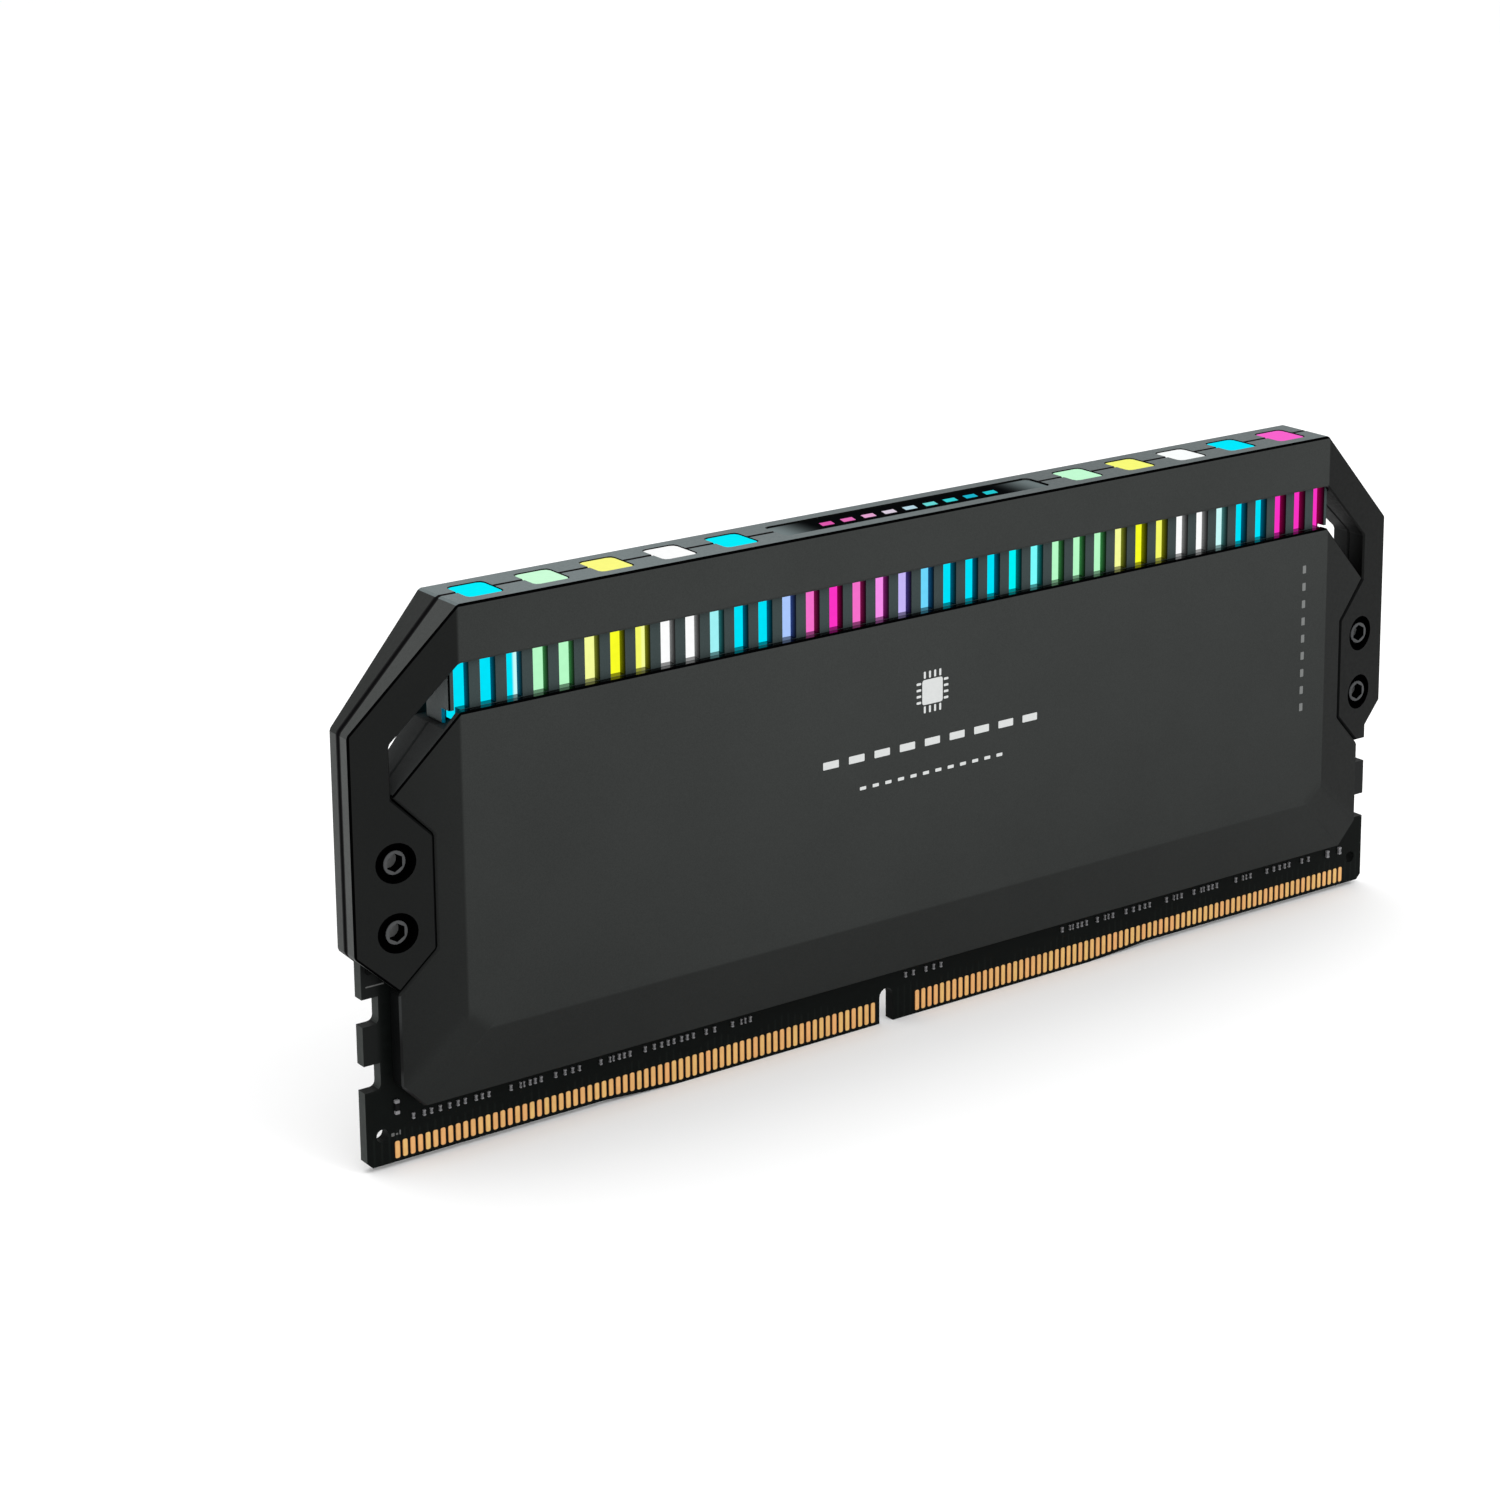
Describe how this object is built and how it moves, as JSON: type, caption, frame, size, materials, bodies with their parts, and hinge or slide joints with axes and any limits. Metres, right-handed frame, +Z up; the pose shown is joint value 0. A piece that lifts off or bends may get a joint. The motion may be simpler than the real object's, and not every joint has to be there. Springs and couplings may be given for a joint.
{
  "type": "memory module",
  "caption": "Long flat desktop memory module: an edge-contact board between dark faceted heat spreader plates, with a screwed-on frame and a slotted light bar along the top.",
  "frame": {"origin": "middle of the circuit board's bottom edge, in the board's middle plane, where the module seats in its socket", "axes": "+X along the module, +Y from the front face towards the rear face, +Z up out of the socket"},
  "size_m": [0.1356, 0.0074, 0.056],
  "materials": {
    "board": "black solder mask over glass-fibre laminate",
    "contact_gold": "gold-plated",
    "chip": "moulded package",
    "coil": "moulded ferrite package",
    "thermal_pad": "soft silicone pad",
    "frame": "fine matt dark coating",
    "spreader": "fine matt dark coating",
    "grille": "satin",
    "lit_diffuser": "frosted, lit from below",
    "smoked_window": "smoked, glossy",
    "led": "clear resin package",
    "connector": "board-to-board header",
    "screw": "dark zinc"
  },
  "bodies": {
    "root": {"board_link": "connector", "centre_window": "smoked_window", "circuit_board": "board", "contacts_front_left": "contact_gold", "contacts_front_right": "contact_gold", "contacts_rear_left": "contact_gold", "contacts_rear_right": "contact_gold", "frame_front": "frame", "frame_rear": "frame", "grille": "grille", "heat_spreader_front": "spreader", "heat_spreader_rear": "spreader", "hub_chip": "chip", "led_01": "led", "led_02": "led", "led_03": "led", "led_04": "led", "led_05": "led", "led_06": "led", "led_07": "led", "led_08": "led", "led_09": "led", "led_10": "led", "led_11": "led", "led_board": "board", "light_bar": "lit_diffuser", "memory_chip_1": "chip", "memory_chip_2": "chip", "memory_chip_3": "chip", "memory_chip_4": "chip", "memory_chip_5": "chip", "memory_chip_6": "chip", "memory_chip_7": "chip", "memory_chip_8": "chip", "power_coil_1": "coil", "power_coil_2": "coil", "power_coil_3": "coil", "power_controller": "chip", "screw_front_left_lower": "screw", "screw_front_left_upper": "screw", "screw_front_right_lower": "screw", "screw_front_right_upper": "screw", "screw_rear_left_lower": "screw", "screw_rear_left_upper": "screw", "screw_rear_right_lower": "screw", "screw_rear_right_upper": "screw", "thermal_pad_front_left": "thermal_pad", "thermal_pad_front_right": "thermal_pad", "thermal_pad_rear": "thermal_pad"}
  },
  "joints": []
}
